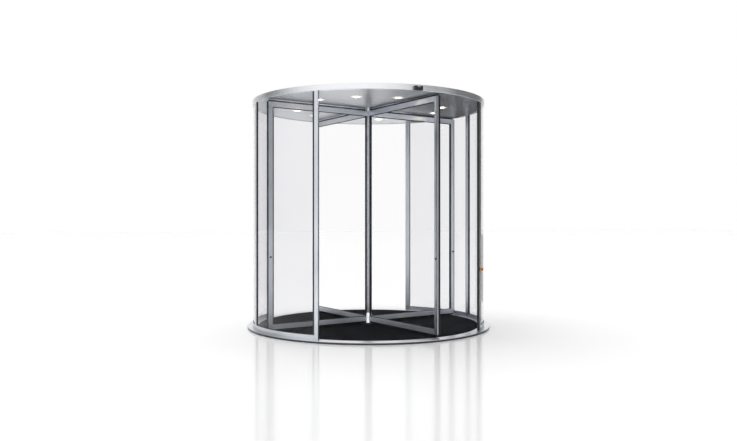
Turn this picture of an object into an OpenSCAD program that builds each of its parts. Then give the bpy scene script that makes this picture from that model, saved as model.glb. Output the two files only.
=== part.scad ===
// Four-wing revolving door with a round glass drum and a slim canopy.
// Millimetres, +Z up. The origin is on the shaft axis at floor level, the front
// doorway faces -Y, and the wings are drawn at their rest angle.

/* [Drum] */
// Outer radius of the drum posts and base rails
drum_r = 1178; // [900:1:1800]
// Clear height from the floor mat to the ceiling edge
passage_h = 2200; // [1800:10:2700]
// Angle of each doorway, seen from the shaft
doorway_angle = 90; // [80:1:95]
// Radial depth of a drum post
post_d = 24; // [18:1:60]
// Width of a drum post along the drum
post_w = 50; // [36:1:80]
// Thickness of the curved glass
wall_glass_t = 10; // [6:1:16]
// Height of the curved rail under the glass
base_rail_h = 42; // [20:1:120]

/* [Floor] */
// Height of the floor ring
ring_h = 20; // [12:1:40]
// How far the floor ring stands out past the drum
ring_out = 52; // [30:1:150]
// How far the floor ring reaches in under the wings
ring_in = 54; // [36:1:120]
// Bevel on the floor ring's outer top edge
ring_bevel = 4; // [1:0.5:8]
// Radius of the floor bearing
bearing_r = 70; // [55:1:120]

/* [Canopy] */
// Height of the canopy fascia
fascia_h = 54; // [50:1:400]
// Thickness of the canopy's sheet metal
sheet_t = 4; // [2:0.5:8]
// How far the fascia stands out past the drum posts
canopy_out = 2; // [2:1:80]
// Width of the lip under the ceiling's edge
lip_w = 26; // [10:1:60]
// How far the roof lies below the fascia's top edge
roof_drop = 8; // [4:1:20]

/* [Wings] */
// Angle that the wings are turned from the doorway axis at rest
wing_turn = 12.2; // [0:0.1:40]
// Thickness of a wing's frame
frame_t = 36; // [28:1:60]
// Width of the outer stile
stile_w = 42; // [36:1:100]
// Height of the top rail
top_rail_h = 48; // [36:1:150]
// Height of the bottom rail
bottom_rail_h = 45; // [36:1:200]
// Thickness of a wing's glass
wing_glass_t = 8; // [6:1:12]

/* [Brush seals] */
// Gap between a wing's frame and the ceiling
top_gap = 20; // [12:1:40]
// Gap between a wing's frame and the mat
bottom_gap = 25; // [12:1:40]
// Gap between a wing's outer stile and the drum posts
side_gap = 14; // [10:1:40]
// Clearance between a brush and what it sweeps
brush_clear = 5.5; // [5:0.5:10]
// Thickness of a brush
brush_t = 12; // [6:1:24]

/* [Shaft] */
// Radius of the central shaft
shaft_r = 30; // [24:1:60]
// Radius of the shaft's journals in both bearings
journal_r = 20; // [12:1:22]
// Radial clearance of the journals
journal_clear = 0.3; // [0.1:0.1:1]
// Width of the glazing strips on the shaft
strip_w = 18; // [14:1:24]
// How far the glazing strips stand out from the shaft
strip_out = 5; // [3:0.5:12]

/* [Downlights] */
// Number of downlights in the ceiling
light_count = 12; // [4:1:16]
// Radius of the circle that the downlights are on
light_circle_r = 755; // [400:5:900]
// Outer radius of a downlight's bezel
bezel_r = 30; // [20:1:60]
// Radius of a downlight's lens
lens_r = 21; // [12:1:40]

/* [Controls] */
// Height of the emergency button above the mat
button_z = 585; // [500:5:1400]
// Radius of the emergency button's head
button_r = 15; // [10:1:19]
// Travel of the emergency button
button_travel = 4; // [2:0.5:6]
// Height of the key switch above the mat
switch_z = 680; // [600:5:1500]
// Radius of the key switch
switch_r = 12; // [8:1:19]
// Height of the wing locks above the mat
lock_z = 710; // [600:5:1400]
// Radius of a wing's lock cylinder
lock_r = 11; // [6:1:20]
// Width of a motion sensor
sensor_w = 78; // [40:1:200]
// Height of a motion sensor
sensor_h = 38; // [20:1:60]
// Depth of a motion sensor
sensor_d = 28; // [15:1:60]

/* [Hidden] */
$fn = 96;
// Heights
floor_z = ring_h;
ceiling_z = floor_z + passage_h;
canopy_top_z = ceiling_z + fascia_h;
panel_z = ceiling_z + sheet_t;
roof_z = canopy_top_z - roof_drop - sheet_t;
wing_bottom_z = floor_z + bottom_gap;
wing_top_z = ceiling_z - top_gap;
sweep_clear = 5;
// Radii
post_in_r = drum_r - post_d;
glass_mid_r = drum_r - post_d / 2;
mat_r = drum_r - ring_in;
ring_r = drum_r + ring_out;
canopy_r = drum_r + canopy_out;
panel_r = canopy_r - sheet_t;
wing_r = post_in_r - side_gap;
strip_r = shaft_r + strip_out;
top_bearing_r = bearing_r + 10;
// The rails start just clear of their neighbours, and are cut to the shaft's round
rail_start = frame_t / 2 + 0.3;
// Gap under and over the shaft's shoulders and ends
thrust_clear = 1;
bearing_floor = 4;
shaft_bottom_z = floor_z + sweep_clear;
shaft_top_z = panel_z + sheet_t - thrust_clear;
wings = [0 : 3];
// Angles of the posts and of the wings
wall_half = 90 - doorway_angle / 2;
front = 270;
back = 90;
left = 180;
right = 0;
far = 4 * ring_r;
// The emergency button's stem, and the gap left under its pressed head
stem_r = button_r * 0.45;
base_t = 12;
head_t = 10;
press_gap = 1;
base_floor = 2;
head_z = base_t + button_travel + press_gap;
stem_z = base_floor + press_gap + button_travel;

// A round tube between two radii and two heights
module tube(r_in, r_out, z0, z1) {
    translate([0, 0, z0]) difference() {
        cylinder(r = r_out, h = z1 - z0, $fn = 180);
        translate([0, 0, -1]) cylinder(r = r_in, h = z1 - z0 + 2, $fn = 180);
    }
}

// A radial bar, centred on the angle, from r0 to r1
module bar(angle, r0, r1, width, z0, z1) {
    rotate(angle) translate([r0, -width / 2, z0]) cube([r1 - r0, width, z1 - z0]);
}

// One bay of a curved wall, between the side faces of the posts at two angles
module bay(angle_a, angle_b, r_in, r_out, z0, z1) {
    difference() {
        rotate(angle_a) rotate_extrude(angle = angle_b - angle_a, $fn = 180)
            translate([r_in, z0]) square([r_out - r_in, z1 - z0]);
        for (a = [angle_a, angle_b]) bar(a, r_in - 50, r_out + 50, post_w, z0 - 1, z1 + 1);
    }
}

module floor_ring() {
    color("silver") rotate_extrude($fn = 180) polygon([
        [mat_r, 0], [ring_r, 0], [ring_r, ring_h - ring_bevel],
        [ring_r - ring_bevel, ring_h], [mat_r, ring_h]
    ]);
}

module floor_mat() {
    color("#26272a") tube(bearing_r, mat_r, 0, floor_z);
}

// A blind bearing: the journal stands in it with room under its end
module floor_bearing() {
    color("dimgray") difference() {
        cylinder(r = bearing_r, h = floor_z);
        translate([0, 0, bearing_floor])
            cylinder(r = journal_r + journal_clear, h = floor_z);
    }
}

module post(angle) {
    color("lightslategray") bar(angle, post_in_r, drum_r, post_w, floor_z, ceiling_z);
}

module base_rails(side) {
    color("lightslategray") for (a = [side - wall_half, side])
        bay(a, a + wall_half, post_in_r, drum_r, floor_z, floor_z + base_rail_h);
}

module wall_glass(angle_a) {
    color("#dfe8ec", 0.3)
        bay(angle_a, angle_a + wall_half, glass_mid_r - wall_glass_t / 2,
            glass_mid_r + wall_glass_t / 2, floor_z + base_rail_h, ceiling_z);
}

// Rolled fascia with a lip that carries the ceiling panel
module canopy_fascia() {
    color("silver") rotate_extrude($fn = 180) polygon([
        [canopy_r, ceiling_z], [canopy_r, canopy_top_z], [panel_r, canopy_top_z],
        [panel_r, panel_z], [panel_r - lip_w, panel_z], [panel_r - lip_w, ceiling_z]
    ]);
}

// Places its children at each downlight
module at_lights() {
    for (k = [0 : light_count - 1])
        rotate(front + k * 360 / light_count) translate([light_circle_r, 0, 0]) children();
}

module ceiling_panel() {
    color("gray") difference() {
        translate([0, 0, panel_z]) cylinder(r = panel_r, h = sheet_t, $fn = 180);
        translate([0, 0, panel_z - 1]) cylinder(r = shaft_r + sweep_clear, h = sheet_t + 2);
        at_lights() translate([0, 0, panel_z - 1]) cylinder(r = lens_r + 3, h = sheet_t + 2);
    }
}

module canopy_roof() {
    color("silver") translate([0, 0, roof_z]) cylinder(r = panel_r, h = sheet_t, $fn = 180);
}

module top_bearing() {
    color("dimgray")
        tube(journal_r + journal_clear, top_bearing_r, panel_z + sheet_t, roof_z);
}

// Bezel under the ceiling, with a can that passes up through it
module downlight_bezels() {
    color("white") at_lights() {
        tube(lens_r, bezel_r, panel_z - 3, panel_z);
        tube(lens_r, lens_r + 3, panel_z, panel_z + sheet_t + 12);
    }
}

module downlight_lenses() {
    color("#fff6e0") at_lights()
        translate([0, 0, panel_z - 2]) cylinder(r = lens_r, h = sheet_t + 8);
}

module motion_sensor(angle) {
    color("#202124") difference() {
        bar(angle, panel_r, canopy_r + sensor_d, sensor_w, ceiling_z, ceiling_z + sensor_h);
        translate([0, 0, ceiling_z - 1]) cylinder(r = canopy_r, h = sensor_h + 2, $fn = 180);
    }
}

// Turns a shape that stands on z = 0 so that it points out of the front right post
module on_post(z) {
    rotate(front + doorway_angle / 2) translate([drum_r, 0, floor_z + z])
        rotate([0, 90, 0]) children();
}

module emergency_button_base() {
    color("gold") on_post(button_z) difference() {
        cylinder(r = button_r + 3, h = base_t);
        translate([0, 0, base_floor]) cylinder(r = stem_r + journal_clear, h = base_t);
    }
}

module emergency_button() {
    color("orangered") on_post(button_z) {
        translate([0, 0, head_z]) cylinder(r = button_r, h = head_t);
        translate([0, 0, stem_z]) cylinder(r = stem_r, h = head_z + 1 - stem_z);
    }
}

module key_switch() {
    color("lightpink") on_post(switch_z) cylinder(r = switch_r, h = 9);
}

module shaft() {
    color("silver") {
        translate([0, 0, shaft_bottom_z]) cylinder(r = shaft_r, h = shaft_top_z - shaft_bottom_z);
        translate([0, 0, bearing_floor + thrust_clear])
            cylinder(r = journal_r, h = roof_z - 2 * thrust_clear - bearing_floor);
    }
}

// The strips hold the inner edges of the wings' glass
module shaft_glazing_strips() {
    color("#33363a") for (k = wings) difference() {
        bar(front + wing_turn + k * 90, rail_start, strip_r, strip_w,
            wing_bottom_z + bottom_rail_h, wing_top_z - top_rail_h);
        translate([0, 0, floor_z]) cylinder(r = shaft_r, h = passage_h);
    }
}

module wing_stile(angle) {
    color("lightslategray")
        bar(angle, wing_r - stile_w, wing_r, frame_t, wing_bottom_z, wing_top_z);
}

module wing_rails(angle) {
    color("lightslategray") difference() {
        union() {
            bar(angle, rail_start, wing_r - stile_w, frame_t,
                wing_bottom_z, wing_bottom_z + bottom_rail_h);
            bar(angle, rail_start, wing_r - stile_w, frame_t,
                wing_top_z - top_rail_h, wing_top_z);
        }
        translate([0, 0, floor_z]) cylinder(r = shaft_r, h = passage_h);
    }
}

module wing_glass(angle) {
    color("#dfe8ec", 0.3) bar(angle, strip_r, wing_r - stile_w, wing_glass_t,
        wing_bottom_z + bottom_rail_h, wing_top_z - top_rail_h);
}

// Brushes along the top, the bottom and the outer edge of a wing
module wing_brushes(angle) {
    color("#2a2b2d") {
        bar(angle, shaft_r + sweep_clear, wing_r, brush_t,
            wing_top_z, panel_z - brush_clear);
        bar(angle, shaft_r + sweep_clear, wing_r, brush_t,
            floor_z + brush_clear, wing_bottom_z);
        bar(angle, wing_r, post_in_r - brush_clear, brush_t, wing_bottom_z, wing_top_z);
    }
}

// Lock cylinders that stand out on both faces of each stile
module wing_locks() {
    color("dimgray") for (k = wings, side = [0, 180])
        rotate(front + wing_turn + k * 90)
            translate([wing_r - stile_w / 2, 0, floor_z + lock_z])
                rotate([side + 90, 0, 0])
                    translate([0, 0, frame_t / 2]) cylinder(r = lock_r, h = 4);
}

floor_ring();
floor_mat();
floor_bearing();
post(front - doorway_angle / 2);  // post_front_left
post(front + doorway_angle / 2);  // post_front_right
post(back + doorway_angle / 2);  // post_back_left
post(back - doorway_angle / 2);  // post_back_right
post(left);  // post_left
post(right);  // post_right
base_rails(left);  // base_rails_left
base_rails(right);  // base_rails_right
wall_glass(left);  // wall_glass_left_front
wall_glass(left - wall_half);  // wall_glass_left_back
wall_glass(right - wall_half);  // wall_glass_right_front
wall_glass(right);  // wall_glass_right_back
canopy_fascia();
ceiling_panel();
canopy_roof();
top_bearing();
downlight_bezels();
downlight_lenses();
motion_sensor(front);  // motion_sensor_front
motion_sensor(back);  // motion_sensor_back
emergency_button_base();
key_switch();
emergency_button();
shaft();
shaft_glazing_strips();
wing_locks();
wing_stile(front + wing_turn);  // wing_front_stile
wing_rails(front + wing_turn);  // wing_front_rails
wing_glass(front + wing_turn);  // wing_front_glass
wing_brushes(front + wing_turn);  // wing_front_brushes
wing_stile(left + wing_turn);  // wing_left_stile
wing_rails(left + wing_turn);  // wing_left_rails
wing_glass(left + wing_turn);  // wing_left_glass
wing_brushes(left + wing_turn);  // wing_left_brushes
wing_stile(back + wing_turn);  // wing_back_stile
wing_rails(back + wing_turn);  // wing_back_rails
wing_glass(back + wing_turn);  // wing_back_glass
wing_brushes(back + wing_turn);  // wing_back_brushes
wing_stile(right + wing_turn);  // wing_right_stile
wing_rails(right + wing_turn);  // wing_right_rails
wing_glass(right + wing_turn);  // wing_right_glass
wing_brushes(right + wing_turn);  // wing_right_brushes
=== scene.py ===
import math
import random

import bmesh
import bpy
from mathutils import Matrix, Vector


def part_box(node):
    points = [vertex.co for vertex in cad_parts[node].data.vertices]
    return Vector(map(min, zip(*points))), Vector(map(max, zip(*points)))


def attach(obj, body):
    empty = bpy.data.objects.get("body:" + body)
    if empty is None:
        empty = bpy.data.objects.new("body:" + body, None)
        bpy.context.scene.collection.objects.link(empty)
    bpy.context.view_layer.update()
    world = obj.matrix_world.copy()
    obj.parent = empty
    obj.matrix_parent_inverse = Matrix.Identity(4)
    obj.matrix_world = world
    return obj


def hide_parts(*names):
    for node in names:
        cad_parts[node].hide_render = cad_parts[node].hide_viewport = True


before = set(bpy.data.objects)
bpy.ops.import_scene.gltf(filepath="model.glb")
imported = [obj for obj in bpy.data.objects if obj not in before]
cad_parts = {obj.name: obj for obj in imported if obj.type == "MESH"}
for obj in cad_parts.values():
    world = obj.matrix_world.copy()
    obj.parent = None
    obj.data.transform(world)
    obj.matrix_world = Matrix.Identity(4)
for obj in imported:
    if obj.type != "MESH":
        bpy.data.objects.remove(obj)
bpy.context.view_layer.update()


# Studio: a level camera in front of the left-hand side of the doorway, in a white
# room with one broad soft light at the front left and another overhead. The sides
# of the room stay grey, so that the metal has something dark to reflect.
def srgb(code):
    """an sRGB hex colour as a linear colour with alpha"""
    parts = [int(code[i : i + 2], 16) / 255 for i in (0, 2, 4)]
    return [c / 12.92 if c <= 0.04045 else ((c + 0.055) / 1.055) ** 2.4 for c in parts] + [1]


def add(tree, kind, inputs=None, **settings):
    """a node with its settings, and its inputs linked or set"""
    node = tree.nodes.new(kind)
    for key, value in settings.items():
        setattr(node, key, value)
    for key, value in (inputs or {}).items():
        if isinstance(value, bpy.types.NodeSocket):
            tree.links.new(value, node.inputs[key])
        else:
            node.inputs[key].default_value = value
    return node


eye_turn = math.radians(-21.55)
lens = bpy.data.cameras.new("camera")
lens.lens = 35.43
lens.sensor_width = 36
camera = bpy.data.objects.new("camera", lens)
camera.location = (-2.7486, -6.960, 1.0757)
camera.rotation_euler = (math.radians(90), 0, eye_turn)
bpy.context.scene.collection.objects.link(camera)
bpy.context.scene.camera = camera
bpy.context.scene.view_settings.view_transform = "Standard"

world = bpy.data.worlds.new("studio")
bpy.context.scene.world = world
world.use_nodes = True
room = world.node_tree
room.nodes.clear()
toward = add(room, "ShaderNodeTexCoord").outputs["Generated"]
# Five soft patches on the walls: the way to each, the cosines at its edge and where
# it is full, and how bright it is outside and within
soft = None
for direction, edge, full, low, high in (
    ((-0.63, -0.765, 0.13), -0.1, 1.0, 0.15, 1.14),
    ((0.367, 0.930, 0.0), 0.78, 0.85, 0.0, 1.0),
    ((-0.316, 0.949, 0.0), 0.866, 0.96, 0.0, 0.6),
    ((0.784, -0.612, -0.105), 0.957, 0.992, 0.0, 1.5),
    ((0.0, 0.0, 1.0), 0.3, 0.9, 0.0, 0.95),
):
    along = add(room, "ShaderNodeVectorMath", {0: toward, 1: direction}, operation="DOT_PRODUCT")
    lobe = add(
        room,
        "ShaderNodeMapRange",
        {0: along.outputs["Value"], 1: edge, 2: full, 3: low, 4: high},
        interpolation_type="SMOOTHSTEP",
    ).outputs[0]
    if soft is None:
        soft = lobe
    else:
        soft = add(room, "ShaderNodeMath", {0: soft, 1: lobe}, operation="MAXIMUM").outputs[0]
# The room is plain white to the eye and through clear glass, until a surface has
# mirrored it; what it lights gets only a little fill
room_fill = 0.06
path = add(room, "ShaderNodeLightPath")
seen = add(
    room,
    "ShaderNodeMath",
    {0: path.outputs["Is Camera Ray"], 1: path.outputs["Is Transmission Ray"]},
    operation="MAXIMUM",
).outputs[0]
straight = add(
    room, "ShaderNodeMath", {0: path.outputs["Glossy Depth"], 1: 0.5}, operation="LESS_THAN"
).outputs[0]
seen = add(room, "ShaderNodeMath", {0: seen, 1: straight}, operation="MULTIPLY").outputs[0]
fill = add(
    room,
    "ShaderNodeMix",
    {0: path.outputs["Is Diffuse Ray"], 2: soft, 3: room_fill},
    data_type="FLOAT",
).outputs[0]
level = add(room, "ShaderNodeMix", {0: seen, 2: fill, 3: 1.0}, data_type="FLOAT").outputs[0]
walls = add(room, "ShaderNodeBackground", {"Color": (1, 1, 1, 1), "Strength": level})
add(room, "ShaderNodeOutputWorld", {"Surface": walls.outputs[0]})

softbox = bpy.data.lights.new("softbox", "AREA")
softbox.shape = "RECTANGLE"
softbox.size = 3.0
softbox.size_y = 2.0
softbox.energy = 25
softbox_stand = bpy.data.objects.new("softbox", softbox)
softbox_stand.location = (-4.2, -5.2, 4.6)
softbox_stand.rotation_euler = (
    (Vector((0, 0, 1.0)) - softbox_stand.location).to_track_quat("-Z", "Y").to_euler()
)
softbox_stand.visible_glossy = False
bpy.context.scene.collection.objects.link(softbox_stand)
overhead = bpy.data.lights.new("overhead", "SUN")
overhead.energy = 3.4
overhead.angle = math.radians(70)
overhead_stand = bpy.data.objects.new("overhead", overhead)
overhead_stand.rotation_euler = (0, math.radians(12), math.radians(108.5))
overhead_stand.visible_glossy = False
bpy.context.scene.collection.objects.link(overhead_stand)

# Lacquered white floor: matt, under a thin gloss that mirrors the door faintly. It
# lies just under the ring, so that the two never share a face.
floor_drop = 0.0005
bm = bmesh.new()
bmesh.ops.create_grid(bm, x_segments=1, y_segments=1, size=60)
bmesh.ops.translate(bm, verts=bm.verts, vec=(0, 0, -floor_drop))
floor_mesh = bpy.data.meshes.new("studio_floor")
bm.to_mesh(floor_mesh)
bm.free()
studio_floor = bpy.data.objects.new("studio_floor", floor_mesh)
bpy.context.scene.collection.objects.link(studio_floor)
pale = bpy.data.materials.new("white_lacquered_floor")
pale.use_nodes = True
tree = pale.node_tree
tree.nodes.clear()
matt = add(tree, "ShaderNodeBsdfDiffuse", {"Color": (0.9, 0.9, 0.9, 1)})
gloss = add(tree, "ShaderNodeBsdfAnisotropic", {"Color": (1, 1, 1, 1), "Roughness": 0.12})
both = add(tree, "ShaderNodeMixShader", {0: 0.28, 1: matt.outputs[0], 2: gloss.outputs[0]})
add(tree, "ShaderNodeOutputMaterial", {"Surface": both.outputs[0]})
floor_mesh.materials.append(pale)

# A dark felt cloth on the floor behind the right-hand side. Only what the metal
# mirrors through the glass shows it, as the darker side of the ceiling.
cloth_size = (26, 44, 1)
cloth_place = (13.5, 31.5, 0.002)  # to the right of the camera, ahead of it, and up
bm = bmesh.new()
bmesh.ops.create_grid(bm, x_segments=1, y_segments=1, size=0.5)
bmesh.ops.scale(bm, verts=bm.verts, vec=cloth_size)
bmesh.ops.translate(bm, verts=bm.verts, vec=cloth_place)
cloth_mesh = bpy.data.meshes.new("studio_cloth")
bm.to_mesh(cloth_mesh)
bm.free()
studio_cloth = bpy.data.objects.new("studio_cloth", cloth_mesh)
studio_cloth.location = (camera.location.x, camera.location.y, 0)
studio_cloth.rotation_euler = (0, 0, eye_turn)
studio_cloth.visible_diffuse = False
studio_cloth.visible_shadow = False
bpy.context.scene.collection.objects.link(studio_cloth)
felt = bpy.data.materials.new("black_felt")
felt.use_nodes = True
tree = felt.node_tree
tree.nodes.clear()
matt = add(tree, "ShaderNodeBsdfDiffuse", {"Color": (0.06, 0.06, 0.06, 1)})
gone = add(tree, "ShaderNodeBsdfTransparent", {"Color": (1, 1, 1, 1)})
path = add(tree, "ShaderNodeLightPath")
mirrored = add(
    tree, "ShaderNodeMath", {0: path.outputs["Glossy Depth"], 1: 0.5}, operation="GREATER_THAN"
).outputs[0]
mirrored = add(
    tree,
    "ShaderNodeMath",
    {0: mirrored, 1: path.outputs["Is Transmission Ray"]},
    operation="MULTIPLY",
).outputs[0]
both = add(tree, "ShaderNodeMixShader", {0: mirrored, 1: gone.outputs[0], 2: matt.outputs[0]})
add(tree, "ShaderNodeOutputMaterial", {"Surface": both.outputs[0]})
cloth_mesh.materials.append(felt)


# Floor ring: flat stainless steel let down over the screed in four rolled lengths,
# brushed round, with a bevelled outer edge. Countersunk socket screws hold it
# outside the glass.
def new_material(name):
    """an empty material and its nodes"""
    material = bpy.data.materials.new(name)
    material.use_nodes = True
    material.node_tree.nodes.clear()
    return material, material.node_tree


def dress(material, *nodes):
    """the CAD nodes keep their shape and take this material"""
    for name in nodes:
        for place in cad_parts[name].material_slots:
            place.material = material


def settle(bm, name, body, material, smooth=True):
    """the finished mesh as a piece at the origin, riding on a body"""
    bmesh.ops.recalc_face_normals(bm, faces=bm.faces)
    for face in bm.faces:
        face.smooth = smooth
    mesh = bpy.data.meshes.new(name)
    bm.to_mesh(mesh)
    bm.free()
    if smooth:
        mesh.set_sharp_from_angle(angle=math.radians(32))
    mesh.materials.append(material)
    piece = bpy.data.objects.new(name, mesh)
    bpy.context.scene.collection.objects.link(piece)
    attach(piece, body)
    return piece


def turned(degrees):
    """a turn about the door's axis"""
    return Matrix.Rotation(math.radians(degrees), 4, "Z")


# Stainless brushed round the axis: rings of fine scratches, drawn 1 to 2 mm apart so
# that they show, which pull each highlight out sideways; cloudier where it is worn.
def brushed_round(name, dark, light, rough, spacing=0.0015, wear=0.08, painted_shade_to=None):
    material, tree = new_material(name)
    place = add(tree, "ShaderNodeTexCoord").outputs["Object"]
    flat = add(
        tree, "ShaderNodeVectorMath", {0: place, 1: (1, 1, 0)}, operation="MULTIPLY"
    ).outputs[0]
    radius = add(tree, "ShaderNodeVectorMath", {0: flat}, operation="LENGTH").outputs["Value"]
    height = add(tree, "ShaderNodeSeparateXYZ", {0: place}).outputs["Z"]
    across = add(tree, "ShaderNodeCombineXYZ", {"X": radius, "Z": height}).outputs[0]
    lines = add(
        tree,
        "ShaderNodeVectorMath",
        {0: flat, 1: (0.006, 0.006, 0), 2: across},
        operation="MULTIPLY_ADD",
    ).outputs[0]
    fine = add(
        tree,
        "ShaderNodeTexNoise",
        {"Vector": lines, "Scale": 0.5 / spacing, "Detail": 4.0, "Roughness": 0.65},
    ).outputs[0]
    cloud = add(
        tree, "ShaderNodeTexNoise", {"Vector": place, "Scale": 3.0, "Detail": 4.0}
    ).outputs[0]
    dull = add(
        tree,
        "ShaderNodeMapRange",
        {0: fine, 1: 0.3, 2: 0.7, 3: rough - 0.05, 4: rough + 0.07},
    ).outputs[0]
    worn = add(
        tree, "ShaderNodeMath", {0: cloud, 1: wear, 2: dull}, operation="MULTIPLY_ADD"
    ).outputs[0]
    tone = add(
        tree, "ShaderNodeMix", {0: fine, 6: srgb(dark), 7: srgb(light)}, data_type="RGBA"
    ).outputs[2]
    if painted_shade_to:
        # below this height the colour is painted dark grey: painted shade on the ring's bevelled
        # outer edge
        bright = add(
            tree,
            "ShaderNodeMapRange",
            {0: height, 1: painted_shade_to - 0.002, 2: painted_shade_to, 3: 0.0, 4: 1.0},
        ).outputs[0]
        tone = add(
            tree, "ShaderNodeMix", {0: bright, 6: srgb("4C4E52"), 7: tone}, data_type="RGBA"
        ).outputs[2]
    dents = add(
        tree, "ShaderNodeBump", {"Height": fine, "Strength": 0.15, "Distance": 0.0004}
    ).outputs[0]
    metal = add(
        tree,
        "ShaderNodeBsdfPrincipled",
        {"Base Color": tone, "Metallic": 1.0, "Roughness": worn, "Normal": dents},
    )
    add(tree, "ShaderNodeOutputMaterial", {"Surface": metal.outputs[0]})
    return material


# The bevelled edge is painted dark grey, as painted shade
ring_steel = brushed_round(
    "stainless_steel_brushed_round", "D2D4D8", "EEEFF2", 0.24, painted_shade_to=0.0175
)
dress(ring_steel, "floor_ring")

screw_circle, screw_z, screw_step = 1.206, 0.0201, 15
bm = bmesh.new()
for k in range(24):
    disc = bmesh.ops.create_cone(
        bm,
        cap_ends=True,
        segments=20,
        radius1=0.0064,
        radius2=0.0060,
        depth=0.0012,
        matrix=turned(screw_step / 2 + screw_step * k)
        @ Matrix.Translation((screw_circle, 0, screw_z)),
    )["verts"]
    bm.normal_update()
    head = {f for v in disc for f in v.link_faces if f.normal.z > 0.9}
    bmesh.ops.inset_region(bm, faces=list(head), thickness=0.0028, depth=-0.0009)
settle(bm, "ring_screws", "drum", ring_steel)


# The four butt joints of the ring are filled flush with dark sealant
def sweep(bm, outline, reach):
    """a straight bar: the outline through these corners, drawn out by this vector"""
    near = [bm.verts.new(c) for c in outline]
    end = bmesh.ops.extrude_face_region(bm, geom=[bm.faces.new(near)])["geom"]
    far = [v for v in end if isinstance(v, bmesh.types.BMVert)]
    bmesh.ops.translate(bm, verts=far, vec=reach)
    return near + far


# EPDM rubber, extruded: black, with a soft dusty sheen and faint lines along it.
def rubber(name, colour, rough):
    material, tree = new_material(name)
    place = add(tree, "ShaderNodeTexCoord").outputs["Object"]
    dust = add(
        tree, "ShaderNodeTexNoise", {"Vector": place, "Scale": 18.0, "Detail": 5.0}
    ).outputs[0]
    grain = add(
        tree, "ShaderNodeTexNoise", {"Vector": place, "Scale": 700.0, "Detail": 2.0}
    ).outputs[0]
    tone = add(
        tree, "ShaderNodeMix", {0: dust, 6: srgb(colour[0]), 7: srgb(colour[1])}, data_type="RGBA"
    ).outputs[2]
    dull = add(
        tree, "ShaderNodeMapRange", {0: dust, 1: 0.3, 2: 0.7, 3: rough - 0.08, 4: rough + 0.08}
    ).outputs[0]
    dents = add(
        tree, "ShaderNodeBump", {"Height": grain, "Strength": 0.25, "Distance": 0.0003}
    ).outputs[0]
    skin = add(
        tree,
        "ShaderNodeBsdfPrincipled",
        {"Base Color": tone, "Roughness": dull, "IOR": 1.5, "Normal": dents},
    )
    add(tree, "ShaderNodeOutputMaterial", {"Surface": skin.outputs[0]})
    return material


black_rubber = rubber("epdm_rubber_extruded", ("121315", "2A2C2F"), 0.5)
joint_r, joint_half, joint_foot, joint_top = 1.129, 0.0006, 0.0195, 0.0201
bm = bmesh.new()
for k in range(4):
    line = sweep(
        bm,
        [
            (joint_r, -joint_half, joint_foot),
            (joint_r, joint_half, joint_foot),
            (joint_r, joint_half, joint_top),
            (joint_r, -joint_half, joint_top),
        ],
        (0.0965, 0, 0),
    )
    bmesh.ops.transform(bm, matrix=turned(22.5 + 90 * k), verts=line)
settle(bm, "ring_joints", "drum", black_rubber, smooth=False)


# Entrance mat: black needled polypropylene in wiper strips 24 mm apart, laid across
# the way through and cut round to the ring and to the floor bearing.
# Needled pile is rough and swallows light. Its loops are drawn 3 mm apart, so that
# they show, and broad paler patches are where it is trodden.
mat_material, tree = new_material("polypropylene_needled_pile")
place = add(tree, "ShaderNodeTexCoord").outputs["Object"]
pile = add(
    tree, "ShaderNodeTexNoise", {"Vector": place, "Scale": 320.0, "Detail": 3.0, "Roughness": 0.7}
).outputs[0]
trodden = add(
    tree, "ShaderNodeTexNoise", {"Vector": place, "Scale": 3.5, "Detail": 5.0}
).outputs[0]
shade = add(
    tree, "ShaderNodeMath", {0: pile, 1: 0.55, 2: trodden}, operation="MULTIPLY_ADD"
).outputs[0]
shade = add(
    tree, "ShaderNodeMapRange", {0: shade, 1: 0.5, 2: 1.05, 3: 0.0, 4: 1.0}
).outputs[0]
tone = add(
    tree, "ShaderNodeMix", {0: shade, 6: srgb("101113"), 7: srgb("222327")}, data_type="RGBA"
).outputs[2]
tufts = add(
    tree, "ShaderNodeBump", {"Height": pile, "Strength": 0.8, "Distance": 0.002}
).outputs[0]
cloth = add(
    tree,
    "ShaderNodeBsdfPrincipled",
    {
        "Base Color": tone,
        "Roughness": 0.95,
        "Specular IOR Level": 0.08,
        "Normal": tufts,
    },
)
add(tree, "ShaderNodeOutputMaterial", {"Surface": cloth.outputs[0]})
dress(mat_material, "floor_mat")

bm = bmesh.new()
reach, hub, pitch, half = 1.119, 0.078, 0.024, 0.0085
strip_foot, strip_top, chamfer = 0.0198, 0.0212, 0.002
outermost = 46
for k in range(-outermost, outermost + 1):
    y = k * pitch
    long = math.sqrt(reach**2 - (abs(y) + half) ** 2)
    gaps = [(-long, long)]
    if abs(y) < hub + half:
        inner = math.sqrt(hub**2 - max(abs(y) - half, 0) ** 2)
        gaps = [(-long, -inner), (inner, long)]
    for x0, x1 in gaps:
        sweep(
            bm,
            [
                (x0, y - half, strip_foot),
                (x0, y + half, strip_foot),
                (x0, y + half - chamfer, strip_top),
                (x0, y - half + chamfer, strip_top),
            ],
            (x1 - x0, 0, 0),
        )
settle(bm, "mat_wiper_strips", "drum", mat_material, smooth=False)


# Floor bearing: a turned steel housing let down in the screed. Only its blackened
# rim shows round the foot of the shaft, ringed by the lathe.
black_steel = brushed_round("steel_turned_blackened", "1B1C1E", "333539", 0.4, spacing=0.001)
dress(black_steel, "floor_bearing")
bearing_steel = brushed_round("steel_turned", "6C6E73", "A4A7AC", 0.3, spacing=0.001)
dress(bearing_steel, "top_bearing")


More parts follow.
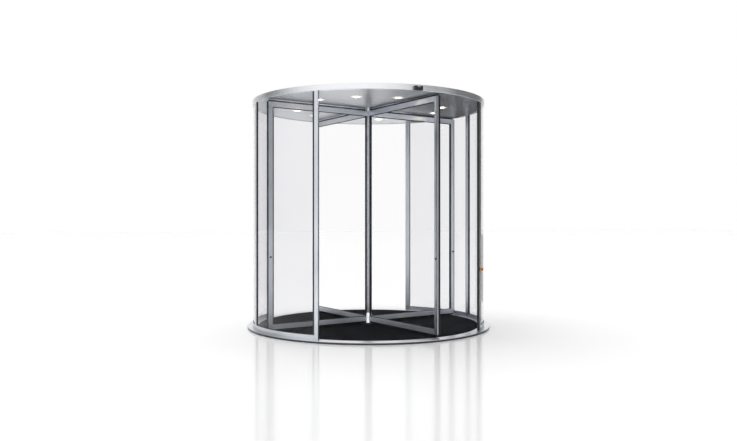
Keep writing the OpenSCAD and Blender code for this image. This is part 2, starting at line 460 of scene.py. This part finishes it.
# Posts and base rails: aluminium extrusions, etched and satin anodised in a blue
# grey. They stand on the ring, and the curved rails are rolled to the drum's radius.
# Anodised metal has a soft satin gloss, with faint streaks along the die's lines.
def anodised(name, dark, light, rough, run):
    """run is small along the streaks, so that they come out long"""
    material, tree = new_material(name)
    place = add(tree, "ShaderNodeTexCoord").outputs["Object"]
    drawn = add(
        tree, "ShaderNodeVectorMath", {0: place, 1: run}, operation="MULTIPLY"
    ).outputs[0]
    lines = add(
        tree,
        "ShaderNodeTexNoise",
        {"Vector": drawn, "Scale": 240.0, "Detail": 4.0, "Roughness": 0.6},
    ).outputs[0]
    etch = add(
        tree, "ShaderNodeTexNoise", {"Vector": place, "Scale": 900.0, "Detail": 2.0}
    ).outputs[0]
    cloud = add(
        tree, "ShaderNodeTexNoise", {"Vector": place, "Scale": 4.0, "Detail": 4.0}
    ).outputs[0]
    patchy = add(
        tree, "ShaderNodeMath", {0: lines, 1: 0.7, 2: cloud}, operation="MULTIPLY_ADD"
    ).outputs[0]
    share = add(
        tree, "ShaderNodeMapRange", {0: patchy, 1: 0.55, 2: 1.15, 3: 0.0, 4: 1.0}
    ).outputs[0]
    tone = add(
        tree, "ShaderNodeMix", {0: share, 6: srgb(dark), 7: srgb(light)}, data_type="RGBA"
    ).outputs[2]
    dull = add(
        tree,
        "ShaderNodeMapRange",
        {0: patchy, 1: 0.55, 2: 1.15, 3: rough - 0.05, 4: rough + 0.07},
    ).outputs[0]
    relief = add(
        tree, "ShaderNodeMath", {0: etch, 1: 0.5, 2: lines}, operation="MULTIPLY_ADD"
    ).outputs[0]
    dents = add(
        tree, "ShaderNodeBump", {"Height": relief, "Strength": 0.12, "Distance": 0.0004}
    ).outputs[0]
    metal = add(
        tree,
        "ShaderNodeBsdfPrincipled",
        {"Base Color": tone, "Metallic": 1.0, "Roughness": dull, "Normal": dents},
    )
    add(tree, "ShaderNodeOutputMaterial", {"Surface": metal.outputs[0]})
    return material


upright = anodised("aluminium_anodised_upright", "C3C8D1", "DDE1E8", 0.3, (1, 1, 0.004))
# The level runs are the same anodised aluminium as the uprights, given a paler tone as painted
# light
level_run_painted_lighter = anodised("aluminium_anodised_level", "D3D7DF", "EAEDF2", 0.4, (0.01, 0.01, 1))
# Each post: its bearing, and the side of it on which the glass stands (0 for both)
posts = {
    "post_front_left": (225, -1),
    "post_front_right": (315, 1),
    "post_back_right": (45, -1),
    "post_back_left": (135, 1),
    "post_left": (180, 0),
    "post_right": (0, 0),
}
dress(upright, *posts)
dress(level_run_painted_lighter, "base_rails_left", "base_rails_right")

# Rubber on the posts: a black gasket closes the joint to the curved glass and laps
# the post's face. Where a wing comes home, a soft bulb strip guards fingers. Corners
# are a radius and a distance along the drum from the post's middle.
lapped_gasket = [
    (1.1781, 0.0125),
    (1.1792, 0.0128),
    (1.1797, 0.0145),
    (1.1797, 0.0250),
    (1.1785, 0.0275),
    (1.1745, 0.0285),
    (1.1711, 0.0285),
    (1.1711, 0.0251),
    (1.1781, 0.0251),
]
outside_gasket = [
    (1.1776, 0.0251),
    (1.1770, 0.0310),
    (1.1740, 0.0345),
    (1.1711, 0.0350),
    (1.1711, 0.0251),
]
inside_gasket = [
    (1.1609, 0.0251),
    (1.1609, 0.0390),
    (1.1575, 0.0380),
    (1.1548, 0.0330),
    (1.1545, 0.0251),
]
gasket_foot, gasket_height = 0.0625, 2.157
for name, (angle, glass_side) in posts.items():
    bm = bmesh.new()
    sides, outlines = (glass_side,), (lapped_gasket,)
    if glass_side == 0:
        sides, outlines = (-1, 1), (outside_gasket, inside_gasket)
    for side in sides:
        for outline in outlines:
            corners = [(r, side * t, gasket_foot) for r, t in outline]
            bar = sweep(bm, corners, (0, 0, gasket_height))
            bmesh.ops.transform(bm, matrix=turned(angle), verts=bar)
    settle(bm, name.replace("post", "glazing_gasket"), "drum", black_rubber)
guard_foot, guard_height = 0.0205, 2.199
for name in ("post_front_right", "post_back_left"):
    angle, glass_side = posts[name]
    bm = bmesh.new()
    bar = sweep(
        bm,
        [
            (r, -glass_side * t, guard_foot)
            for r, t in (
                (1.1548, 0.0252),
                (1.1548, 0.0340),
                (1.1560, 0.0400),
                (1.1590, 0.0438),
                (1.1640, 0.0455),
                (1.1700, 0.0455),
                (1.1745, 0.0438),
                (1.1775, 0.0400),
                (1.1789, 0.0340),
                (1.1789, 0.0185),
                (1.1781, 0.0182),
                (1.1781, 0.0252),
            )
        ],
        (0, 0, guard_height),
    )
    bmesh.ops.transform(bm, matrix=turned(angle), verts=bar)
    settle(bm, name.replace("post", "finger_guard"), "drum", black_rubber)


# Curved glass: laminated safety glass, bent to the drum. Clean and almost neutral,
# a little greyer through its 10 mm than the wings' panes. Shadow rays pass straight
# through, so that it shades the floor only a little.
def glass(name, dusty, clean, bend):
    material, tree = new_material(name)
    place = add(tree, "ShaderNodeTexCoord").outputs["Object"]
    film = add(
        tree, "ShaderNodeTexNoise", {"Vector": place, "Scale": 1.6, "Detail": 5.0}
    ).outputs[0]
    tone = add(
        tree, "ShaderNodeMix", {0: film, 6: srgb(dusty), 7: srgb(clean)}, data_type="RGBA"
    ).outputs[2]
    slab = add(
        tree,
        "ShaderNodeBsdfPrincipled",
        {"Base Color": tone, "Roughness": 0.0, "IOR": bend, "Transmission Weight": 1.0},
    )
    clear = add(tree, "ShaderNodeBsdfTransparent", {"Color": srgb(clean)})
    ray = add(tree, "ShaderNodeLightPath").outputs["Is Shadow Ray"]
    both = add(tree, "ShaderNodeMixShader", {0: ray, 1: slab.outputs[0], 2: clear.outputs[0]})
    add(tree, "ShaderNodeOutputMaterial", {"Surface": both.outputs[0]})
    return material


wall_glass = glass("laminated_glass_bent", "ECECEE", "F0F0F2", 1.22)
dress(
    wall_glass,
    "wall_glass_left_front",
    "wall_glass_left_back",
    "wall_glass_right_front",
    "wall_glass_right_back",
)

# Wedge gaskets along the foot of the curved glass, pressed in the rolled rail
glass_arc = 41.2
for name, start in (
    ("left_front", 181.9),
    ("left_back", 136.9),
    ("right_front", 316.9),
    ("right_back", 1.9),
):
    bm = bmesh.new()
    for outline in (
        [(1.1712, 0.0615), (1.1765, 0.0615), (1.1755, 0.0650), (1.1712, 0.0672)],
        [(1.1608, 0.0615), (1.1608, 0.0672), (1.1565, 0.0650), (1.1555, 0.0615)],
    ):
        corners = [bm.verts.new(turned(start) @ Vector((r, 0, z))) for r, z in outline]
        bmesh.ops.spin(
            bm,
            geom=[bm.faces.new(corners)],
            cent=(0, 0, 0),
            axis=(0, 0, 1),
            angle=math.radians(glass_arc),
            steps=24,
        )
    settle(bm, "foot_gasket_" + name, "drum", black_rubber)


# Canopy: a slim fascia rolled from stainless sheet and brushed round, with a bright
# bead along its lower edge. Its lip carries the ceiling.
def lathe(bm, outline, steps=144):
    """a full ring about the door's axis, through these (radius, height) corners"""
    corners = [bm.verts.new((r, 0, z)) for r, z in outline]
    loop = [bm.edges.new((a, b)) for a, b in zip(corners, corners[1:] + corners[:1])]
    bmesh.ops.spin(
        bm,
        geom=corners + loop,
        cent=(0, 0, 0),
        axis=(0, 0, 1),
        angle=math.radians(360),
        steps=steps,
        use_merge=True,
    )


canopy_steel = brushed_round("stainless_sheet_brushed", "DFE1E6", "F2F4F7", 0.25)
dress(canopy_steel, "canopy_fascia")

# The bead is polished, so it draws a bright line under the duller fascia
bead_steel = brushed_round("stainless_polished_bead", "D9DBE0", "EFF0F3", 0.14, wear=0.03)
bead_r, bead_z, bead_round = 1.1785, 2.2232, 0.0032
bm = bmesh.new()
lathe(
    bm,
    [
        (
            bead_r + bead_round * math.cos(math.radians(a)),
            bead_z + bead_round * math.sin(math.radians(a)),
        )
        for a in range(-90, 91, 20)
    ]
    + [(1.1780, 2.2264), (1.1780, 2.2200)],
    steps=180,
)
settle(bm, "fascia_bead", "drum", bead_steel)

# Four upright butt joints in the fascia, filled with dark sealant
seam_in, seam_out, seam_foot = 1.1792, 1.1803, 2.2268
bm = bmesh.new()
for angle in (0, 90, 180, 270):
    seam = sweep(
        bm,
        [
            (seam_in, -joint_half, seam_foot),
            (seam_out, -joint_half, seam_foot),
            (seam_out, joint_half, seam_foot),
            (seam_in, joint_half, seam_foot),
        ],
        (0, 0, 0.0470),
    )
    bmesh.ops.transform(bm, matrix=turned(angle + 22.5), verts=seam)
settle(bm, "fascia_joints", "drum", black_rubber, smooth=False)


# Ceiling: flat stainless panels, brushed one way, screwed up to the lip. The brushing
# gives long streaks, and the joints between the panels are fine dark lines.
def brushed_flat(name, dark, light, rough, run, spacing=0.002, spill=False):
    material, tree = new_material(name)
    place = add(tree, "ShaderNodeTexCoord").outputs["Object"]
    drawn = add(
        tree, "ShaderNodeVectorMath", {0: place, 1: run}, operation="MULTIPLY"
    ).outputs[0]
    fine = add(
        tree,
        "ShaderNodeTexNoise",
        {"Vector": drawn, "Scale": 0.5 / spacing, "Detail": 4.0, "Roughness": 0.65},
    ).outputs[0]
    broad = add(
        tree,
        "ShaderNodeTexNoise",
        {"Vector": drawn, "Scale": 0.04 / spacing, "Detail": 3.0},
    ).outputs[0]
    mixed = add(
        tree, "ShaderNodeMath", {0: fine, 1: 0.6, 2: broad}, operation="MULTIPLY_ADD"
    ).outputs[0]
    share = add(
        tree, "ShaderNodeMapRange", {0: mixed, 1: 0.5, 2: 1.1, 3: 0.0, 4: 1.0}
    ).outputs[0]
    tone = add(
        tree, "ShaderNodeMix", {0: share, 6: srgb(dark), 7: srgb(light)}, data_type="RGBA"
    ).outputs[2]
    dull = add(
        tree, "ShaderNodeMapRange", {0: mixed, 1: 0.5, 2: 1.1, 3: rough - 0.06, 4: rough + 0.08}
    ).outputs[0]
    dents = add(
        tree, "ShaderNodeBump", {"Height": fine, "Strength": 0.15, "Distance": 0.0004}
    ).outputs[0]
    metal = add(
        tree,
        "ShaderNodeBsdfPrincipled",
        {"Base Color": tone, "Metallic": 1.0, "Roughness": dull, "Normal": dents},
    )
    if spill:
        # a warm pool of stray light round each of the twelve downlights, which stand
        # on one circle at equal steps
        circle, half_step = 0.755, math.radians(15)
        parts = add(tree, "ShaderNodeSeparateXYZ", {0: place})
        x, y = parts.outputs["X"], parts.outputs["Y"]
        bearing = add(tree, "ShaderNodeMath", {0: y, 1: x}, operation="ARCTAN2").outputs[0]
        off = add(
            tree, "ShaderNodeMath", {0: bearing, 1: half_step}, operation="PINGPONG"
        ).outputs[0]
        off = add(tree, "ShaderNodeMath", {0: off, 1: circle}, operation="MULTIPLY").outputs[0]
        radius = add(
            tree,
            "ShaderNodeVectorMath",
            {0: add(tree, "ShaderNodeCombineXYZ", {"X": x, "Y": y}).outputs[0]},
            operation="LENGTH",
        ).outputs["Value"]
        out = add(
            tree, "ShaderNodeMath", {0: radius, 1: circle}, operation="SUBTRACT"
        ).outputs[0]
        gap = add(
            tree,
            "ShaderNodeVectorMath",
            {0: add(tree, "ShaderNodeCombineXYZ", {"X": off, "Y": out}).outputs[0]},
            operation="LENGTH",
        ).outputs["Value"]
        pool = add(
            tree,
            "ShaderNodeMapRange",
            {0: gap, 1: 0.022, 2: 0.075, 3: 1.0, 4: 0.0},
            interpolation_type="SMOOTHERSTEP",
        ).outputs[0]
        stray = add(
            tree, "ShaderNodeMix", {0: pool, 6: (0, 0, 0, 1), 7: srgb("D6C7AA")}, data_type="RGBA"
        ).outputs[2]
        tree.links.new(stray, metal.inputs["Emission Color"])
        metal.inputs["Emission Strength"].default_value = 1.0
    add(tree, "ShaderNodeOutputMaterial", {"Surface": metal.outputs[0]})
    return material


ceiling_steel = brushed_flat(
    "stainless_panel_brushed", "BFC2C7", "DADCE0", 0.34, (0.01, 1, 1), spill=True
)
dress(ceiling_steel, "ceiling_panel")
gap_half, gap_top, gap_foot = 0.0008, 2.2241, 2.2237
bm = bmesh.new()
for angle in (60, 180, 300):
    joint = sweep(
        bm,
        [
            (0.076, -gap_half, gap_top),
            (0.076, gap_half, gap_top),
            (0.076, gap_half, gap_foot),
            (0.076, -gap_half, gap_foot),
        ],
        (1.073, 0, 0),
    )
    bmesh.ops.transform(bm, matrix=turned(angle), verts=joint)
settle(bm, "ceiling_joints", "drum", black_rubber, smooth=False)

# Turned cover that closes the ceiling round the top of the shaft
bm = bmesh.new()
lathe(
    bm,
    [
        (0.0345, 2.2241),
        (0.0345, 2.2222),
        (0.0360, 2.2212),
        (0.0720, 2.2212),
        (0.0750, 2.2225),
        (0.0755, 2.2241),
    ],
    steps=64,
)
settle(bm, "ceiling_rosette", "drum", canopy_steel)


# Roof: galvanised sheet in six sectors, let in below the fascia's top edge. Folded
# seams join the sectors, and pan-head screws hold them round the edge.
# Zinc crystals about 14 mm across, some brighter than others, dulled by dust
zinc, tree = new_material("galvanised_sheet_spangled")
place = add(tree, "ShaderNodeTexCoord").outputs["Object"]
spangle = add(
    tree, "ShaderNodeTexVoronoi", {"Vector": place, "Scale": 70.0}, feature="F1"
).outputs["Color"]
spangle = add(tree, "ShaderNodeSeparateColor", {0: spangle}).outputs[0]
dust = add(tree, "ShaderNodeTexNoise", {"Vector": place, "Scale": 2.5, "Detail": 6.0}).outputs[0]
tone = add(
    tree, "ShaderNodeMix", {0: spangle, 6: srgb("B9BCC0"), 7: srgb("CDD0D3")}, data_type="RGBA"
).outputs[2]
dull = add(
    tree, "ShaderNodeMath", {0: dust, 1: 0.35, 2: 0.38}, operation="MULTIPLY_ADD"
).outputs[0]
sheet = add(
    tree,
    "ShaderNodeBsdfPrincipled",
    {"Base Color": tone, "Metallic": 0.8, "Roughness": dull},
)
add(tree, "ShaderNodeOutputMaterial", {"Surface": sheet.outputs[0]})
dress(zinc, "canopy_roof")
roof_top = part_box("canopy_roof")[1].z
bm = bmesh.new()
for k in range(6):
    seam = sweep(
        bm,
        [
            (0.0905, -0.010, roof_top - 0.0005),
            (0.0905, 0.010, roof_top - 0.0005),
            (0.0905, 0.009, roof_top + 0.0012),
            (0.0905, 0.003, roof_top + 0.0016),
            (0.0905, 0.002, roof_top + 0.0052),
            (0.0905, -0.002, roof_top + 0.0052),
            (0.0905, -0.003, roof_top + 0.0016),
            (0.0905, -0.009, roof_top + 0.0012),
        ],
        (1.076, 0, 0),
    )
    bmesh.ops.transform(bm, matrix=turned(30 + 60 * k), verts=seam)
settle(bm, "roof_seams", "drum", zinc)
bm = bmesh.new()
lathe(
    bm,
    [
        (0.010, roof_top - 0.0005),
        (0.010, roof_top + 0.0045),
        (0.084, roof_top + 0.0045),
        (0.092, roof_top + 0.0032),
        (0.0945, roof_top - 0.0005),
    ],
    steps=48,
)
settle(bm, "roof_hub_cover", "drum", zinc)
bm = bmesh.new()
for k in range(36):
    if k % 6 == 3:
        continue
    bmesh.ops.create_uvsphere(
        bm,
        u_segments=12,
        v_segments=6,
        radius=0.0055,
        matrix=turned(10 * k)
        @ Matrix.Translation((1.160, 0, roof_top))
        @ Matrix.Diagonal((1, 1, 0.62, 1)),
    )
settle(bm, "roof_screws", "drum", zinc)


# Downlights: recessed warm-white spots in white enamelled bezels. The opal lens is
# brightest, and it lights the inside edge of its bezel.
# Opal acrylic, lit from behind: an even warm white, a little mottled
opal, tree = new_material("opal_lens_lit")
place = add(tree, "ShaderNodeTexCoord").outputs["Object"]
grain = add(
    tree, "ShaderNodeTexNoise", {"Vector": place, "Scale": 160.0, "Detail": 2.0}
).outputs[0]
power = add(
    tree, "ShaderNodeMapRange", {0: grain, 1: 0.3, 2: 0.7, 3: 16.0, 4: 20.0}
).outputs[0]
opal_skin = add(
    tree,
    "ShaderNodeBsdfPrincipled",
    {
        "Base Color": srgb("FFF6E6"),
        "Roughness": 0.35,
        "Emission Color": srgb("FFF1D6"),
        "Emission Strength": power,
    },
)
add(tree, "ShaderNodeOutputMaterial", {"Surface": opal_skin.outputs[0]})
dress(opal, "downlight_lenses")

# Enamelled steel: glossy warm white with a slight orange peel. Its own faint glow
# stands for the light that the lens throws on it.
enamel, tree = new_material("steel_enamelled_white")
place = add(tree, "ShaderNodeTexCoord").outputs["Object"]
peel = add(
    tree, "ShaderNodeTexNoise", {"Vector": place, "Scale": 220.0, "Detail": 2.0}
).outputs[0]
tone = add(
    tree, "ShaderNodeMix", {0: peel, 6: srgb("EFEBE2"), 7: srgb("FBF8F0")}, data_type="RGBA"
).outputs[2]
dents = add(
    tree, "ShaderNodeBump", {"Height": peel, "Strength": 0.1, "Distance": 0.0005}
).outputs[0]
coat = add(
    tree,
    "ShaderNodeBsdfPrincipled",
    {
        "Base Color": tone,
        "Roughness": 0.3,
        "Emission Color": srgb("FFF3DF"),
        "Emission Strength": 1.1,
        "Normal": dents,
    },
)
add(tree, "ShaderNodeOutputMaterial", {"Surface": coat.outputs[0]})
dress(enamel, "downlight_bezels")


# Motion sensors: moulded black ABS housings on the fascia over both doorways, each
# with a window in the middle of its top edge, coloured pale as a painted highlight.
# Moulded plastic has an even colour, a soft gloss and the fine grain of a spark-eroded mould.
def moulded(name, dark, light, rough, grain=0.0012):
    material, tree = new_material(name)
    place = add(tree, "ShaderNodeTexCoord").outputs["Object"]
    spark = add(
        tree, "ShaderNodeTexNoise", {"Vector": place, "Scale": 0.5 / grain, "Detail": 2.0}
    ).outputs[0]
    tone = add(
        tree, "ShaderNodeMix", {0: spark, 6: srgb(dark), 7: srgb(light)}, data_type="RGBA"
    ).outputs[2]
    dull = add(
        tree, "ShaderNodeMapRange", {0: spark, 1: 0.3, 2: 0.7, 3: rough - 0.05, 4: rough + 0.05}
    ).outputs[0]
    dents = add(
        tree, "ShaderNodeBump", {"Height": spark, "Strength": 0.12, "Distance": 0.0004}
    ).outputs[0]
    skin = add(
        tree,
        "ShaderNodeBsdfPrincipled",
        {"Base Color": tone, "Roughness": dull, "IOR": 1.54, "Normal": dents},
    )
    add(tree, "ShaderNodeOutputMaterial", {"Surface": skin.outputs[0]})
    return material


black_abs = moulded("abs_moulded_black", "141416", "1F2022", 0.32)
dress(black_abs, "motion_sensor_front", "motion_sensor_back")
# pale grey window: a painted highlight on the sensor's top edge
painted_highlight_window = moulded("polycarbonate_moulded_smoke", "9A9CA0", "B4B6BA", 0.18)
window_half = 0.013
for name, angle in (("front", 270), ("back", 90)):
    bm = bmesh.new()
    bar = sweep(
        bm,
        [
            (1.1805, -window_half, 2.2450),
            (1.2070, -window_half, 2.2450),
            (1.2082, -window_half, 2.2462),
            (1.2082, -window_half, 2.2580),
            (1.2070, -window_half, 2.2590),
            (1.1805, -window_half, 2.2590),
        ],
        (0, 2 * window_half, 0),
    )
    bmesh.ops.transform(bm, matrix=turned(angle), verts=bar)
    settle(bm, "sensor_window_" + name, "drum", painted_highlight_window)


# Controls on the front right post: a red mushroom head on a yellow collar, moulded in
# polycarbonate, and above it a nickel-plated key switch with its slot.
signal_red = moulded("polycarbonate_moulded_red", "C4200F", "DE3214", 0.28)
dress(signal_red, "emergency_button")
signal_yellow = moulded("polycarbonate_moulded_yellow", "E0A018", "EDB32A", 0.4)
dress(signal_yellow, "emergency_button_base")
nickel = brushed_round("brass_nickel_plated", "B9A9A4", "DCCBC5", 0.22, spacing=0.0008)
dress(nickel, "key_switch")
low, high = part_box("key_switch")
slot_length, slot_half = 0.010, 0.0012
slot_back, slot_face = 1.1866, 1.1873
foot = (low.z + high.z) / 2 - 0.005
bm = bmesh.new()
bar = sweep(
    bm,
    [
        (slot_back, -slot_half, foot),
        (slot_face, -slot_half, foot),
        (slot_face, slot_half, foot),
        (slot_back, slot_half, foot),
    ],
    (0, 0, slot_length),
)
bmesh.ops.transform(bm, matrix=turned(315), verts=bar)
settle(bm, "key_slot", "drum", black_rubber, smooth=False)


# Shaft: a drawn stainless tube with a satin polish, held between the bearings. A
# polished cone closes its foot among the wings' rails, and a collar its head.
shaft_steel = anodised("stainless_tube_satin", "9599A1", "B3B7BF", 0.26, (1, 1, 0.004))
dress(shaft_steel, "shaft")
mirror_steel = brushed_round("stainless_mirror_polished", "E6E8EC", "F6F7F9", 0.08, wear=0.02)
bm = bmesh.new()
for outline in (
    [
        (0.0290, 0.0262),
        (0.0430, 0.0262),
        (0.0440, 0.0272),
        (0.0322, 0.1270),
        (0.0312, 0.1285),
        (0.0290, 0.1285),
    ],
    [
        (0.0290, 2.2005),
        (0.0325, 2.2005),
        (0.0335, 2.2015),
        (0.0335, 2.2180),
        (0.0325, 2.2190),
        (0.0290, 2.2190),
    ],
):
    lathe(bm, outline, steps=64)
settle(bm, "shaft_collars", "rotor", mirror_steel)
dress(black_rubber, "shaft_glazing_strips")


# Wings: four frames of the same anodised aluminium, mitred to the shaft, round clear
# toughened panes. Wedge gaskets hold each pane, wider on one face than the other.
# Corners are a distance out from the shaft and a distance across the wing.
wings = {"front": 282.2, "left": 192.2, "back": 102.2, "right": 12.2}
wing_glass = glass("toughened_glass_clear", "FDFDFD", "FFFFFF", 1.12)
pane_face, pane_foot, pane_height = 0.0042, 0.0905, 2.061
for name, angle in wings.items():
    dress(upright, f"wing_{name}_stile")
    dress(level_run_painted_lighter, f"wing_{name}_rails")
    dress(wing_glass, f"wing_{name}_glass")
    bm = bmesh.new()
    for outline in (
        [
            (1.0985, pane_face),
            (1.0985, 0.0145),
            (1.0915, 0.0130),
            (1.0865, 0.0085),
            (1.0865, pane_face),
        ],
        [
            (1.0985, -pane_face),
            (1.0985, -0.0090),
            (1.0955, -0.0080),
            (1.0935, -0.0060),
            (1.0935, -pane_face),
        ],
    ):
        sweep(bm, [(u, v, pane_foot) for u, v in outline], (0, 0, pane_height))
    for side in (1, -1):
        by_shaft = [(0.0352, pane_face), (0.0352, 0.0085), (0.0385, 0.0080), (0.0410, pane_face)]
        sweep(bm, [(u, side * v, pane_foot) for u, v in by_shaft], (0, 0, pane_height))
        for foot, tip in ((0.0898, 0.0955), (2.1522, 2.1465)):
            sweep(
                bm,
                [
                    (0.0365, side * pane_face, foot),
                    (0.0365, side * 0.0110, foot),
                    (0.0365, side * 0.0095, (foot + tip) / 2),
                    (0.0365, side * pane_face, tip),
                ],
                (1.0615, 0, 0),
            )
    bmesh.ops.transform(bm, matrix=turned(angle), verts=bm.verts)
    settle(bm, f"wing_{name}_gaskets", "rotor", black_rubber)

# Wing locks: steel cylinders through the stiles, each with a slot for its key
lock_steel = brushed_flat("steel_lock_blackened", "54575C", "74777C", 0.3, (1, 1, 1))
dress(lock_steel, "wing_locks")
low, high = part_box("wing_locks")
near, far, inside, outside = 1.1183, 1.1197, 0.0218, 0.0224
foot = (low.z + high.z) / 2 - 0.005
bm = bmesh.new()
for angle in wings.values():
    for side in (-1, 1):
        slot = sweep(
            bm,
            [
                (near, side * inside, foot),
                (far, side * inside, foot),
                (far, side * outside, foot),
                (near, side * outside, foot),
            ],
            (0, 0, slot_length),
        )
        bmesh.ops.transform(bm, matrix=turned(angle), verts=slot)
settle(bm, "lock_slots", "rotor", black_rubber, smooth=False)


# Brush seals: strips of black nylon bristle in slim black holders along the top, the
# foot and the outer edge of each wing. The bristle is drawn as tufts 5 mm apart,
# because single hairs of 0.3 mm are too fine to show. Its sheen is that of fibre.
bristle, tree = new_material("nylon_bristle_black")
place = add(tree, "ShaderNodeTexCoord").outputs["Object"]
hairs = add(
    tree, "ShaderNodeTexNoise", {"Vector": place, "Scale": 600.0, "Detail": 3.0}
).outputs[0]
tone = add(
    tree, "ShaderNodeMix", {0: hairs, 6: srgb("1B1C1E"), 7: srgb("3B3D40")}, data_type="RGBA"
).outputs[2]
dents = add(
    tree, "ShaderNodeBump", {"Height": hairs, "Strength": 0.5, "Distance": 0.001}
).outputs[0]
fibre = add(
    tree,
    "ShaderNodeBsdfPrincipled",
    {
        "Base Color": tone,
        "Roughness": 0.6,
        "Sheen Weight": 0.2,
        "Sheen Roughness": 0.4,
        "Normal": dents,
    },
)
add(tree, "ShaderNodeOutputMaterial", {"Surface": fibre.outputs[0]})

# Holders: a bar along the top and the foot, a strip and a clip along the outer edge
holder_start, holder_length, holder_foot, holder_height = 0.0355, 1.1045, 0.0450, 2.1550
edge_strip = [
    (1.1400, -0.0030),
    (1.1400, 0.0176),
    (1.1418, 0.0168),
    (1.1432, 0.0065),
    (1.1432, -0.0022),
]
edge_clip = [
    (1.1325, -0.0180),
    (1.1331, -0.0190),
    (1.1406, -0.0190),
    (1.1406, -0.0165),
    (1.1400, -0.0165),
    (1.1400, -0.0180),
]
tuft_step, tuft_lean = 0.005, 0.1
random.seed(7)
for name, angle in wings.items():
    bm = bmesh.new()
    for back, shoulder, lip in ((2.2000, 2.2022, 2.2050), (0.0450, 0.0428, 0.0400)):
        sweep(
            bm,
            [
                (holder_start, -0.017, back),
                (holder_start, 0.017, back),
                (holder_start, 0.016, shoulder),
                (holder_start, 0.0055, lip),
                (holder_start, -0.0055, lip),
                (holder_start, -0.016, shoulder),
            ],
            (holder_length, 0, 0),
        )
    for outline in (edge_strip, edge_clip):
        sweep(bm, [(u, v, holder_foot) for u, v in outline], (0, 0, holder_height))
    # two rows of tufts, half a step apart, each with its root, its way and its length
    tufts = []
    for row, shift in ((-0.0024, 0), (0.0024, tuft_step / 2)):
        for k in range(220):
            u = 0.0385 + tuft_step * k + shift
            tufts.append((Vector((u, row, 2.2045)), Vector((0, 0, 1)), 0.0140))
            tufts.append((Vector((u, row, 0.0405)), Vector((0, 0, -1)), 0.0148))
        for k in range(430):
            z = 0.0480 + tuft_step * k + shift
            tufts.append((Vector((1.1422, 0.0022 + 0.7 * row, z)), Vector((1, 0, 0)), 0.0061))
    for root, way, length in tufts:
        lean = Vector([random.uniform(-tuft_lean, tuft_lean) for _ in range(3)])
        aim = (way + lean - lean.dot(way) * way).normalized()
        turn = aim.to_track_quat("Z", "Y").to_matrix().to_4x4()
        bmesh.ops.create_cone(
            bm,
            cap_ends=False,
            segments=4,
            radius1=0.0019,
            radius2=0.0021,
            depth=length,
            matrix=Matrix.Translation(root + aim * length / 2) @ turn,
        )
    bmesh.ops.transform(bm, matrix=turned(angle), verts=bm.verts)
    brush = settle(bm, f"wing_{name}_bristles", "rotor", bristle, smooth=False)
    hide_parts(f"wing_{name}_brushes")
